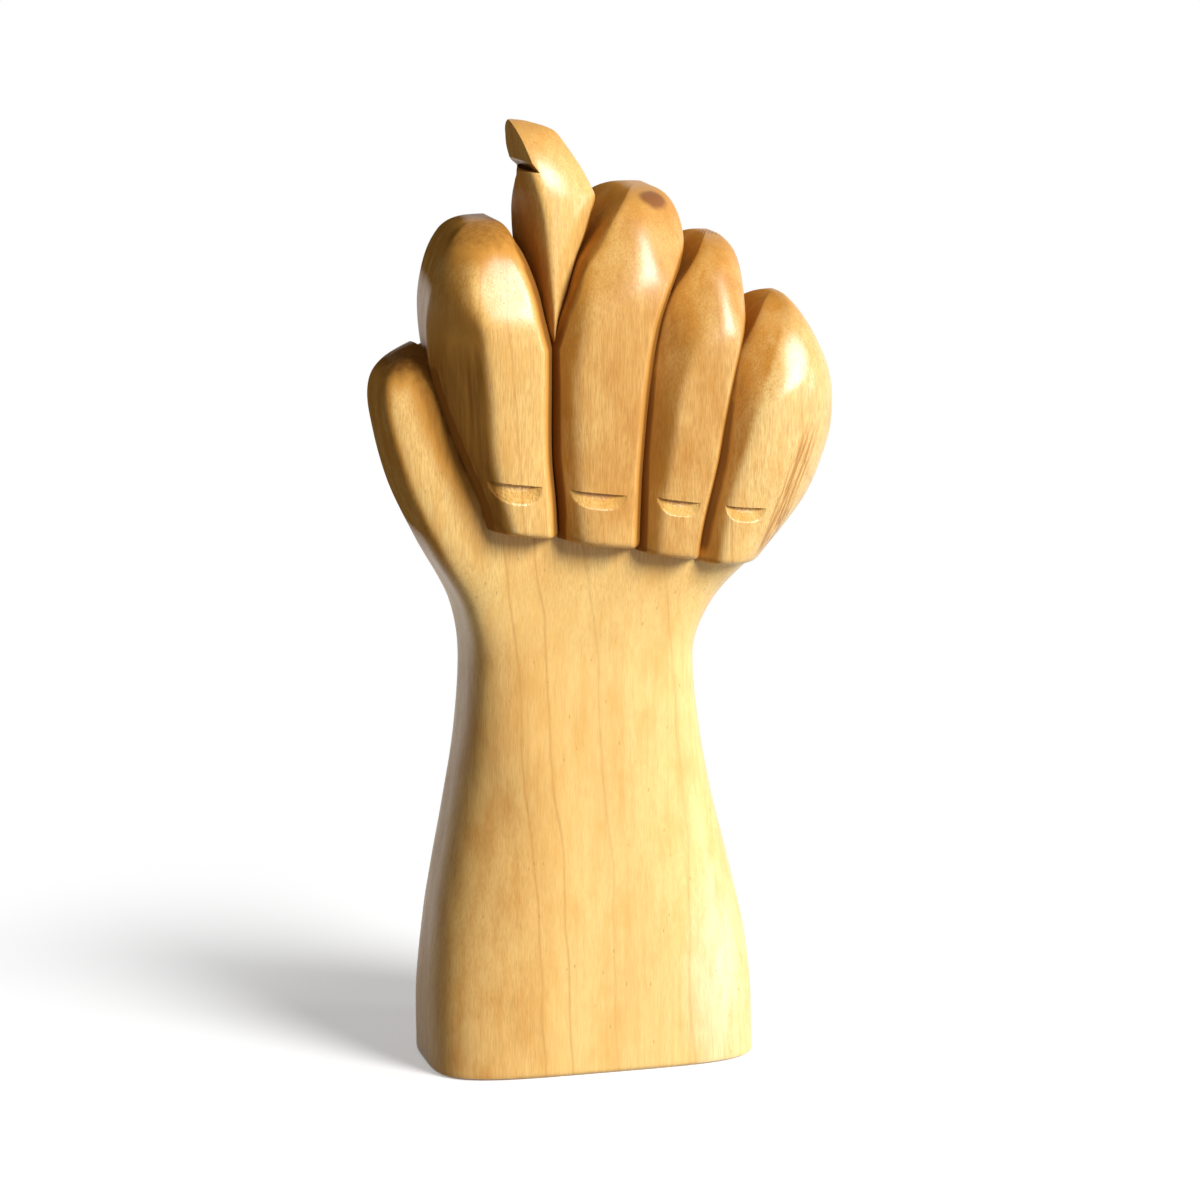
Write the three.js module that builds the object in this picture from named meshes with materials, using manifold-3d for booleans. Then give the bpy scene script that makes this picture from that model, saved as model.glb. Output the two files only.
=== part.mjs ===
// A figa carving: a clenched left hand on a forearm that flares to a flat base, with the thumb standing up
// between the index and middle fingers. Millimetres, +Z up. The fingers face -Y, the thumb side is towards -X
// and the origin is the middle of the underside.
import * as THREE from 'three';
import { LoftGeometry } from 'three/addons/geometries/LoftGeometry.js';
import { mergeVertices } from 'three/addons/utils/BufferGeometryUtils.js';
import Module from 'manifold-3d';

const { degToRad, lerp, smoothstep } = THREE.MathUtils;
const wasm = await Module();
wasm.setup();

// Clearance of a carved line between two neighbouring forms
const SEAM = 0.3;

// The forearm: a straight foot, then a taper to the wrist
const WRIST_HEIGHT = 86;
const FOOT_HEIGHT = 12;
const FOOT_WIDTH = 69.8;
const FOOT_DEPTH = 36;
const FOOT_SQUARE = 3.6;
const WRIST_WIDTH = 48.2;
const WRIST_DEPTH = 29.4;
const WRIST_SQUARE = 3.4;
// The wrist's middle lies towards the thumb's side and the back
const WRIST_THUMBWARD = 1.9;
const WRIST_BACKWARD = 0.5;

// Widths of the forms that stand side by side across the fist
const MOUND_WIDTH = 15.1;
const INDEX_WIDTH = 18;
const MIDDLE_WIDTH = 18.4;
const RING_WIDTH = 17.1;
const LITTLE_WIDTH = 25.6;

// Where each form starts, across the fist from the thumb's side
const MIDDLE_LEFT = -10.7;
const INDEX_LEFT = MIDDLE_LEFT - INDEX_WIDTH;
const MOUND_LEFT = INDEX_LEFT - MOUND_WIDTH;
const RING_LEFT = MIDDLE_LEFT + MIDDLE_WIDTH;
const LITTLE_LEFT = RING_LEFT + RING_WIDTH;
const LITTLE_RIGHT = LITTLE_LEFT + LITTLE_WIDTH;

// Lengths of the digits that show, from the tip (or the thumb's root) to the top of the bend
const INDEX_LENGTH = 62.6;
const MIDDLE_LENGTH = 71.3;
const RING_LENGTH = 64.3;
const LITTLE_LENGTH = 53.9;
const THUMB_LENGTH = 43.2;

// Reach of the fist from the upright axis: to the fingers' fronts, the palm below them and the back of the hand
const FIST_FRONT = 25;
const PALM_FRONT = 16.5;
const FIST_BACK = 22.5;

// Sections of the fist above the wrist: how far each stays in from the fist's reach on the thumb's side, the little
// finger's side, the palm and the back, and how square it is (2 is an ellipse)
const FIST = [
  { above: 12.5, thumbSide: 16.4, littleSide: 23.4, palm: 1.3, back: 5.5, square: 3.2 },
  { above: 25, thumbSide: 9.8, littleSide: 10.9, palm: 0, back: 3, square: 3.2 },
  { above: 38, thumbSide: 3.8, littleSide: 2.2, palm: 0.9, back: 1.5, square: 3.2 },
  { above: 51, thumbSide: 0.4, littleSide: -0.8, palm: 2.7, back: 1, square: 3.2 },
  { above: 58, thumbSide: 0, littleSide: -0.4, palm: 3.9, back: 1, square: 3 },
  { above: 63, thumbSide: 2.2, littleSide: 1.9, palm: 6, back: 1.5, square: 2.8 },
  { above: 66.5, thumbSide: 7.3, littleSide: 4.4, palm: 8.5, back: 2, square: 2.6 },
  { above: 69, thumbSide: 15.8, littleSide: 7.4, palm: 10.5, back: 2.5, square: 2.6 },
  { above: 84, thumbSide: 23.8, littleSide: 20.4, palm: 16.5, back: 5.5, square: 2.6 },
];

// Lines where neighbouring forms meet, seen from the palm: sideways from where the form starts, and above the wrist
const MOUND_TO_INDEX = lineFrom([INDEX_LEFT, WRIST_HEIGHT], [
  [6.1, 27], [1.4, 41], [-1.9, 49], [-4.5, 59], [-5.3, 69], [-4.9, 81], [-3.8, 94],
]);
const MIDDLE_TO_RING = lineFrom([RING_LEFT, WRIST_HEIGHT], [
  [-0.7, 22], [0, 46], [3.5, 70], [6.7, 78], [10.5, 86.5], [12.3, 100],
]);
const RING_TO_LITTLE = lineFrom([LITTLE_LEFT, WRIST_HEIGHT], [
  [-5.2, 18], [0, 43], [4.4, 64], [7, 72.5], [7.8, 84],
]);
const LITTLE_OUTER = lineFrom([LITTLE_RIGHT, WRIST_HEIGHT], [
  [-20.4, 18], [-15.4, 22], [-6, 33], [-0.8, 45.5], [0, 53], [-0.8, 60], [-2.4, 66.5], [-4.4, 74],
]);

// The index and middle fingers part at the fork, and the thumb's lines are measured from there
const FORK_ABOVE_WRIST = 67.5;
const FORK_THUMBWARD = 0.6;
const FORK = [MIDDLE_LEFT - FORK_THUMBWARD, WRIST_HEIGHT + FORK_ABOVE_WRIST];
const INDEX_TO_MIDDLE = [...lineFrom([MIDDLE_LEFT, WRIST_HEIGHT], [[1.7, 24], [0, 44]]), FORK];
const INDEX_TO_THUMB = lineFrom(FORK, [[0, 0], [-1.3, 5.5], [-3.1, 17.5], [-5.1, 25.5], [-5.5, 32.5]]);
const THUMB_TO_MIDDLE = lineFrom(FORK, [[0, 0], [1.9, 5.5], [4.9, 14], [9.1, 21.5], [13.1, 29.5], [13.7, 36.5]]);
const THUMB_OUTER = [...INDEX_TO_THUMB.slice(0, -1), ...lineFrom(FORK, [[-4.3, 34.3], [-7.3, 44.5]])];
const THUMB_INNER = [...THUMB_TO_MIDDLE.slice(0, -1), ...lineFrom(FORK, [[10.9, 32.9], [9.3, 36], [5.3, 44.5]])];
// The thumb starts just above the fork, where its two lines have parted
const THUMB_ABOVE_FORK = 0.7;

// The digits. Each stands between two lines, from its tip to its rounded top.
// tip and length: height of its lower end above the wrist, and how far it rises from there
// tipFall, topFall: how far its lower end and its shoulders fall from the middle to the right line
// peak: place of its top, from -1 at the left line to 1 at the right one
// shoulder, shoulderSquare: height of the rounded top, and how square it is (2 is an ellipse)
// frontIn, tipIn, backIn: how far its front and back stay in from the fist's reach, and its tip from its front
// crown: place of its foremost line, from where the left and right flanks fall back, as the back's do on both sides
// leftInset, rightInset: how much narrower it is at the top of its back
// seatIn, seatRise: the sloping face it is carved down to starts this far inside the palm at the tip, and reaches
// the back this far above it
// nail: height above the tip, place across, width, depth, length and turn in degrees
const DIGITS = [
  {
    name: 'index_finger', left: [MOUND_TO_INDEX], right: [INDEX_TO_MIDDLE, INDEX_TO_THUMB],
    tip: 29.7, length: INDEX_LENGTH, tipFall: 1, topFall: -1, peak: 0.3, shoulder: 20, shoulderSquare: 3.4,
    frontIn: 1, tipIn: 1.5, backIn: 0.5, crown: -0.55, leftFlank: 9, rightFlank: 6, backFlank: 3.5,
    leftInset: 4, rightInset: 0, seatIn: 1, seatRise: 41.3,
    nail: { above: 11.3, across: -0.15, width: 11, depth: 1.1, length: 5, turn: 12 },
  },
  {
    name: 'middle_finger', left: [INDEX_TO_MIDDLE, THUMB_TO_MIDDLE], right: [MIDDLE_TO_RING],
    tip: 27.2, length: MIDDLE_LENGTH, tipFall: 1.2, topFall: 1, peak: 0.05, shoulder: 25, shoulderSquare: 2.3,
    frontIn: 0, tipIn: 1.5, backIn: 0, crown: -0.25, leftFlank: 7, rightFlank: 6.5, backFlank: 3.5,
    leftInset: 0, rightInset: 0, seatIn: 1, seatRise: 46.8,
    nail: { above: 11.3, across: -0.15, width: 12, depth: 1, length: 4.5, turn: 4 },
  },
  {
    name: 'ring_finger', left: [MIDDLE_TO_RING], right: [RING_TO_LITTLE],
    tip: 24, length: RING_LENGTH, tipFall: 1.2, topFall: 0, peak: 0.2, shoulder: 20, shoulderSquare: 2.2,
    frontIn: 0.5, tipIn: 2, backIn: 0.5, crown: -0.25, leftFlank: 6.5, rightFlank: 6.5, backFlank: 3.5,
    leftInset: 0, rightInset: 0, seatIn: 1.2, seatRise: 41,
    nail: { above: 12, across: -0.2, width: 9.5, depth: 1, length: 4.5, turn: 3 },
  },
  {
    name: 'little_finger', left: [RING_TO_LITTLE], right: [LITTLE_OUTER], outermost: true,
    tip: 21.4, length: LITTLE_LENGTH, tipFall: 0.6, topFall: -1, peak: 0.1, shoulder: 20, shoulderSquare: 2,
    frontIn: 3, tipIn: 1.5, backIn: 1.5, crown: -0.25, leftFlank: 6, rightFlank: 16, backFlank: 5,
    leftInset: 0, rightInset: 1, seatIn: 2.3, seatRise: 30.6,
    nail: { above: 12.3, across: -0.4, width: 9, depth: 1, length: 4.5, turn: 2 },
  },
  {
    name: 'thumb', left: [THUMB_OUTER], right: [THUMB_INNER],
    tip: FORK_ABOVE_WRIST + THUMB_ABOVE_FORK, length: THUMB_LENGTH, tipFall: 0, topFall: 0, peak: -0.75,
    shoulder: 9, shoulderSquare: 2.4,
    frontIn: 11, tipIn: -4, backIn: 10.5, crown: -0.7, leftFlank: 3, rightFlank: 11, backFlank: 4,
    leftInset: 4, rightInset: 4, seatIn: 0, seatRise: 0,
  },
];

// The slant of the fingers' nails across the fist
const NAIL_SLANT = degToRad(8);

// The thumb's nail is a paring on its outer side that flares outwards and ends below in a stop cut
const THUMB_NAIL_LENGTH = 8.9;
const THUMB_NAIL_DEPTH = 2;
const THUMB_NAIL_BACK = 4;
const THUMB_NAIL_FLARE = degToRad(20);

// Reach of a cut that runs out of the wood
const CUTTER_REACH = 150;

// Fineness of the surfaces, and how near two corners of one surface are the same point
const ARM_SIDES = 44;
const ARM_RING_SPACING = 3.6;
const FACE_STEPS = 10;
const SHAFT_RINGS = 14;
const SHOULDER_RINGS = 8;
const LINE_STEP = 1.5;
const SAME_POINT = 1e-4;

// Places of a line's points, given sideways and upwards from a start
function lineFrom([x, height], steps) {
  return steps.map(([sideways, above]) => [x + sideways, height + above]);
}

// A smooth run of values over height through [value, height] points
function runThrough(points, settings = null) {
  const heights = points.map((point) => point[1]);
  const values = points.map((point) => point[0]);
  const run = new THREE.CubicInterpolant(heights, values, 1);
  run.settings = settings;
  return (height) => run.evaluate(height)[0];
}

// A line made of runs that follow one another upwards
function lineOf(runs) {
  const parts = runs.map((points) => ({ end: points.at(-1)[1], at: runThrough(points) }));
  return (height) => (parts.find((part) => height < part.end) ?? parts.at(-1)).at(height);
}

// How far a rounded form has fallen at a share of the way to its edge (0 to 1)
function fall(share) {
  return 1 - Math.sqrt(1 - share ** 2);
}

// Heights and depths of a digit that follow from its sizes
function extentOf(digit) {
  const tip = WRIST_HEIGHT + digit.tip;
  const top = tip + digit.length;
  const front = digit.frontIn - FIST_FRONT;
  const back = FIST_BACK - digit.backIn;
  return { tip, top, start: top - digit.shoulder, front, tipFront: front + digit.tipIn, back };
}

// How deep a digit's front lies at a share of the way up its shaft and a place across it
function frontAt(digit, rise, across) {
  const { front, tipFront } = extentOf(digit);
  const { crown } = digit;
  const foremost = lerp(tipFront, front, Math.sin(Math.PI / 2 * rise));
  if (across < crown) return foremost + digit.leftFlank * fall((crown - across) / (1 + crown));
  return foremost + digit.rightFlank * fall((across - crown) / (1 - crown));
}

function solidOf(geometry) {
  const plain = new THREE.BufferGeometry();
  plain.setAttribute('position', geometry.getAttribute('position'));
  plain.setIndex(geometry.index);
  const merged = mergeVertices(plain, SAME_POINT);
  const corners = merged.index.array;
  const kept = [];
  for (let i = 0; i < corners.length; i += 3) {
    const [a, b, c] = corners.slice(i, i + 3);
    if (a !== b && b !== c && c !== a) kept.push(a, b, c);
  }
  const vertProperties = merged.attributes.position.array;
  const triVerts = new Uint32Array(kept);
  return new wasm.Manifold(new wasm.Mesh({ numProp: 3, vertProperties, triVerts }));
}

function meshOf(name, solid) {
  const { vertProperties, triVerts } = solid.getMesh();
  const geometry = new THREE.BufferGeometry();
  geometry.setAttribute('position', new THREE.BufferAttribute(vertProperties, 3));
  geometry.setIndex(new THREE.BufferAttribute(triVerts, 1));
  geometry.computeVertexNormals();
  const varnishedWood = new THREE.MeshStandardMaterial({ color: 0xe2ae62, roughness: 0.38, metalness: 0 });
  const mesh = new THREE.Mesh(geometry, varnishedWood);
  mesh.name = name;
  return mesh;
}

// One measure of the forearm and fist over height: from the foot to the wrist, then through the fist's sections
function armRun(foot, wrist, fistValues) {
  const points = [[wrist, WRIST_HEIGHT]];
  FIST.forEach((section, i) => points.push([fistValues[i], WRIST_HEIGHT + section.above]));
  const settings = { endingStart: THREE.ZeroSlopeEnding, endingEnd: THREE.ZeroCurvatureEnding };
  const fist = runThrough(points, settings);
  return (height) => {
    if (height > WRIST_HEIGHT) return fist(height);
    return lerp(foot, wrist, smoothstep(height, FOOT_HEIGHT, WRIST_HEIGHT));
  };
}

// The forearm, palm and thumb mound as one run of rounded sections
function armSolid() {
  const inFrom = (reach, key) => FIST.map((section) => reach - section[key]);
  const halfWidth = WRIST_WIDTH / 2;
  const halfDepth = WRIST_DEPTH / 2;
  const left = armRun(FOOT_WIDTH / 2, halfWidth + WRIST_THUMBWARD, inFrom(-MOUND_LEFT, 'thumbSide'));
  const right = armRun(FOOT_WIDTH / 2, halfWidth - WRIST_THUMBWARD, inFrom(LITTLE_RIGHT, 'littleSide'));
  const front = armRun(FOOT_DEPTH / 2, halfDepth - WRIST_BACKWARD, inFrom(PALM_FRONT, 'palm'));
  const back = armRun(FOOT_DEPTH / 2, halfDepth + WRIST_BACKWARD, inFrom(FIST_BACK, 'back'));
  const square = armRun(FOOT_SQUARE, WRIST_SQUARE, FIST.map((section) => section.square));
  const total = WRIST_HEIGHT + FIST.at(-1).above;
  const rings = Math.round(total / ARM_RING_SPACING);
  const sections = [];
  for (let ring = 0; ring <= rings; ring++) {
    const height = total * ring / rings;
    const power = 2 / square(height);
    const points = [];
    for (let side = 0; side < ARM_SIDES; side++) {
      const angle = 2 * Math.PI * side / ARM_SIDES;
      const across = Math.cos(angle);
      const deep = Math.sin(angle);
      const wide = across < 0 ? left(height) : right(height);
      const thick = deep < 0 ? front(height) : back(height);
      const x = Math.sign(across) * wide * Math.abs(across) ** power;
      const y = Math.sign(deep) * thick * Math.abs(deep) ** power;
      points.push(new THREE.Vector3(x, y, height));
    }
    sections.push(points);
  }
  return solidOf(new LoftGeometry(sections, { capStart: true, capEnd: true }));
}

// Heights of a digit's rings, with the share of its section that is left at each one
function digitRings(digit) {
  const { tip, top, start } = extentOf(digit);
  const power = 2 / digit.shoulderSquare;
  const rings = [];
  for (let i = 0; i < SHAFT_RINGS; i++) {
    rings.push({ rise: i / SHAFT_RINGS, height: lerp(tip, start, i / SHAFT_RINGS), left: 1 });
  }
  for (let i = 0; i < SHOULDER_RINGS; i++) {
    const angle = Math.PI / 2 * i / SHOULDER_RINGS;
    const height = start + digit.shoulder * Math.sin(angle) ** power;
    rings.push({ rise: 1, height, left: Math.cos(angle) ** power });
  }
  rings.push({ rise: 1, height: top, left: 0 });
  return rings;
}

// The rounded body of a digit between its two lines, not yet cut to its seat
function digitSolid(digit) {
  const left = lineOf(digit.left);
  const right = lineOf(digit.right);
  const { front, back } = extentOf(digit);
  const deepMiddle = (front + back) / 2;
  const sections = digitRings(digit).map((ring) => {
    const points = [];
    const rightFall = digit.tipFall * (1 - ring.rise) + digit.topFall * ring.rise * ring.left;
    const place = (across, y, inset) => {
      const height = ring.height - across * rightFall;
      const low = left(height) + SEAM / 2 + inset * digit.leftInset;
      const high = right(height) - SEAM / 2 - inset * digit.rightInset;
      const x = lerp(low, high, (1 + lerp(digit.peak, across, ring.left)) / 2);
      points.push(new THREE.Vector3(x, lerp(deepMiddle, y, ring.left), height));
    };
    for (let i = 0; i <= FACE_STEPS; i++) {
      const across = -Math.cos(Math.PI * i / FACE_STEPS);
      place(across, frontAt(digit, ring.rise, across), 0);
    }
    for (let i = 0; i <= FACE_STEPS; i++) {
      const across = Math.cos(Math.PI * i / FACE_STEPS);
      place(across, back - fall(Math.abs(across)) * digit.backFlank, ring.rise ** 2);
    }
    return points;
  });
  return solidOf(new LoftGeometry(sections, { capStart: true }));
}

// The wood behind a digit's sloping seat, moved forward by a clearance
function behindSeat(digit, clearance) {
  const { tip, back } = extentOf(digit);
  const seat = digit.seatIn - PALM_FRONT;
  const block = new THREE.BoxGeometry(2 * CUTTER_REACH, 2 * CUTTER_REACH, 2 * CUTTER_REACH);
  block.translate(0, CUTTER_REACH - clearance, 0);
  block.rotateX(-Math.atan2(back - seat, digit.seatRise));
  block.translate(0, seat, tip);
  return solidOf(block);
}

// The space of a digit that is cleared from the palm, in front of its seat and between its lines
function fingerSpace(digit) {
  const { tip, top } = extentOf(digit);
  const side = (runs, across) => {
    const line = lineOf(runs);
    const start = tip - across * digit.tipFall;
    const points = [new THREE.Vector2(line(start) + across * SEAM / 2, start - SEAM)];
    for (let height = start + LINE_STEP; height < top; height += LINE_STEP) {
      points.push(new THREE.Vector2(line(height) + across * SEAM / 2, height));
    }
    return points;
  };
  const left = side(digit.left, -1);
  const right = side(digit.right, 1);
  const above = (point) => new THREE.Vector2(point.x, top + CUTTER_REACH);
  const beside = (point) => new THREE.Vector2(CUTTER_REACH, point.y);
  const rightSide = digit.outermost
    ? [right[0], beside(right[0]), beside(above(right[0]))]
    : [...right, above(right.at(-1))];
  const outline = new THREE.Shape([...rightSide, above(left.at(-1)), ...left.reverse()]);
  const space = new THREE.ExtrudeGeometry(outline, { depth: 2 * CUTTER_REACH, bevelEnabled: false });
  space.rotateX(Math.PI / 2);
  space.translate(0, CUTTER_REACH, 0);
  return solidOf(space).subtract(behindSeat(digit, 0));
}

// A finger's nail: a stop cut across the finger and a slanting paring below it
function nailCut(digit) {
  const { above, across, width, depth, length, turn } = digit.nail;
  const { tip, start } = extentOf(digit);
  const height = tip + above;
  const left = lineOf(digit.left)(height);
  const right = lineOf(digit.right)(height);
  const drop = 2 * length;
  const cut = new THREE.BoxGeometry(width, 2 * drop, drop);
  cut.translate(0, -drop, -drop / 2);
  cut.rotateX(-Math.atan2(depth, length));
  cut.rotateY(NAIL_SLANT);
  cut.rotateZ(degToRad(turn));
  const surface = frontAt(digit, above / (start - tip), across);
  cut.translate(lerp(left, right, (1 + across) / 2), surface + depth, height);
  return solidOf(cut);
}

function thumbNailCut(thumb) {
  const height = extentOf(thumb).top - THUMB_NAIL_LENGTH;
  const outer = lineOf(thumb.left)(height);
  const cut = new THREE.BoxGeometry(CUTTER_REACH, CUTTER_REACH, CUTTER_REACH);
  cut.translate(-CUTTER_REACH / 2, THUMB_NAIL_BACK - CUTTER_REACH / 2, CUTTER_REACH / 2);
  cut.rotateY(-THUMB_NAIL_FLARE);
  cut.translate(outer + THUMB_NAIL_DEPTH, 0, height);
  return solidOf(cut);
}

const figa = new THREE.Group();
figa.name = 'figa_carving';

let forearmAndPalm = armSolid();
for (const digit of DIGITS) {
  const nail = digit.name === 'thumb' ? thumbNailCut(digit) : nailCut(digit);
  const solid = digitSolid(digit).subtract(behindSeat(digit, SEAM)).subtract(nail);
  figa.add(meshOf(digit.name, solid));
  forearmAndPalm = forearmAndPalm.subtract(fingerSpace(digit));
}
figa.add(meshOf('forearm_and_palm', forearmAndPalm));

export default figa;
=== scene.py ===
import math

import bmesh
import bpy
from bpy.props import FloatProperty, FloatVectorProperty, PointerProperty
from bpy.types import Operator, Panel, PropertyGroup
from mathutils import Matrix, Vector, noise


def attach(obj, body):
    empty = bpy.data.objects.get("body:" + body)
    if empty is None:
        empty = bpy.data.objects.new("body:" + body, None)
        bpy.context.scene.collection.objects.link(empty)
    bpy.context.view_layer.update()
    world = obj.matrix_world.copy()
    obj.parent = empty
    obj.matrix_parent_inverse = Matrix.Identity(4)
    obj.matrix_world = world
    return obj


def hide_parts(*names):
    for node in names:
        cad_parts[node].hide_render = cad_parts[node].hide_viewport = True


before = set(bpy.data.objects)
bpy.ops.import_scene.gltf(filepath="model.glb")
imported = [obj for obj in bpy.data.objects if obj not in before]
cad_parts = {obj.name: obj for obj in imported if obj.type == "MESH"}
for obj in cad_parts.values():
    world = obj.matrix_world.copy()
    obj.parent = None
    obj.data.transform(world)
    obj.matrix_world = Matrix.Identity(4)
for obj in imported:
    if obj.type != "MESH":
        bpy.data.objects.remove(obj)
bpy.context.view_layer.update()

bl_info = {
    "name": "Figa Carving",
    "version": (1, 0, 0),
    "blender": (4, 5, 0),
    "location": "View3D > Sidebar > Carving",
    "description": "Carves a wooden figa: a clenched hand with the thumb between two fingers, on a forearm",
    "category": "Add Mesh",
}

MM = 0.001

# Sections of the fist above the wrist, in mm: how far each stays in from the fist's reach on the thumb's
# side, the little finger's side, the palm and the back, and how square it is (2 is an ellipse)
FIST = (
    (12.5, 15.9, 23.4, 1.3, 5.5, 3.2),
    (25, 9.2, 10.9, 0, 3, 3.2),
    (38, 3.2, 2.2, 0.9, 1.5, 3.2),
    (51, -0.2, -0.8, 2.7, 1, 3.2),
    (58, -0.6, -0.4, 3.9, 1, 3),
    (62.4, 1.6, 1.9, 6, 1.5, 2.8),
    (65.9, 7.3, 4.4, 8.5, 2, 2.6),
    (68.4, 15.8, 7.4, 10.5, 2.5, 2.6),
    (84, 23.8, 20.4, 16.5, 5.5, 2.6),
)
# How square the foot and the wrist are, and the two front edges at heights above the base and above the wrist
FOOT_SQUARE, WRIST_SQUARE = 4.4, 3.4
THUMB_EDGE = ((4, 0), (3.8, 10), (3.3, 22), (2.9, 35), (2.7, 48), (2.8, 58), (3.6, 70))
THUMB_EDGE_FIST = ((5.2, 0), (8, 12), (10, 30), (12, 54), (6, 66))
LITTLE_EDGE = ((4.4, 0), (4, 8), (3.3, 20), (2.8, 35), (2.7, 50), (3, 65))
LITTLE_EDGE_WRIST = 4
# How far the wrist lies off the axis, and the height and depth of the base's worn edge, in mm
WRIST_ASIDE, WRIST_BACKWARD = 1.9, 0.5
WORN_HEIGHT, WORN_DEPTH = 1.2, 0.8

# Where the middle finger starts across, and the fork of the thumb from there and the wrist, in mm
MIDDLE_LEFT = -10.7
FORK = (-0.6, 67.5)
# Carved lines between the forms, in mm from where a form starts and the wrist, or from the fork
MOUND_TO_INDEX = ((5.5, 26), (3.3, 36), (0.1, 44), (-2.5, 51), (-5, 59), (-6.2, 65), (-6.4, 72), (-5.5, 81),
                  (-4, 94))
INDEX_TO_MIDDLE = ((1.2, 24), (0.6, 36), (-0.4, 47))
MIDDLE_TO_RING = ((-0.8, 24), (-0.2, 44), (1.2, 60.6), (3.2, 71.8), (5.9, 78.5), (8.5, 83.2), (11, 89),
                  (12.3, 98))
RING_TO_LITTLE = ((-5.4, 20), (-4.1, 30), (-1.2, 43), (0.1, 51.8), (2.2, 62.3), (3.5, 67.2), (4.5, 71),
                  (5.2, 76), (6.6, 85))
LITTLE_OUTER = ((-20.4, 18), (-15.4, 22), (-6, 33), (-0.8, 45.5), (0, 53), (-0.8, 60), (-2.4, 66.5),
                (-4.4, 74))
INDEX_TO_THUMB = ((0, 0), (-1.4, 6), (-2.3, 10.6), (-3.4, 15.1), (-4.4, 18.7), (-5.5, 21.6), (-5.6, 32))
THUMB_TO_MIDDLE = ((0, 0), (1.8, 5.3), (3.9, 10.2), (6.5, 17.3), (8.7, 21.3), (10.4, 25.5), (12, 29.6),
                   (13, 37))
THUMB_OUTER = ((0, 0), (-1.4, 6), (-2.5, 12), (-3.6, 19), (-4.1, 25.5), (-4.4, 29.8), (-4.5, 33), (-4.6, 35),
               (-6, 36.2), (-7.2, 39.5), (-8, 45))
THUMB_INNER = ((0, 0), (1.8, 5.3), (3.9, 10.2), (6.3, 17.3), (8.1, 21.3), (9.6, 25.5), (10.7, 29.4),
               (10, 31.3), (8.8, 33.8), (6.9, 36.9), (5.2, 39.5), (3.5, 42), (1.2, 44.2))
# How high above the wrist both neighbours close each carved line, in mm
LINE_ENDS = {"mound_to_index": 67, "index_right": 91.5, "middle_side": 97.5, "middle_to_ring": 89,
             "ring_to_little": 75, "thumb_outer": 89.5, "thumb_inner": 97.5}

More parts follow.
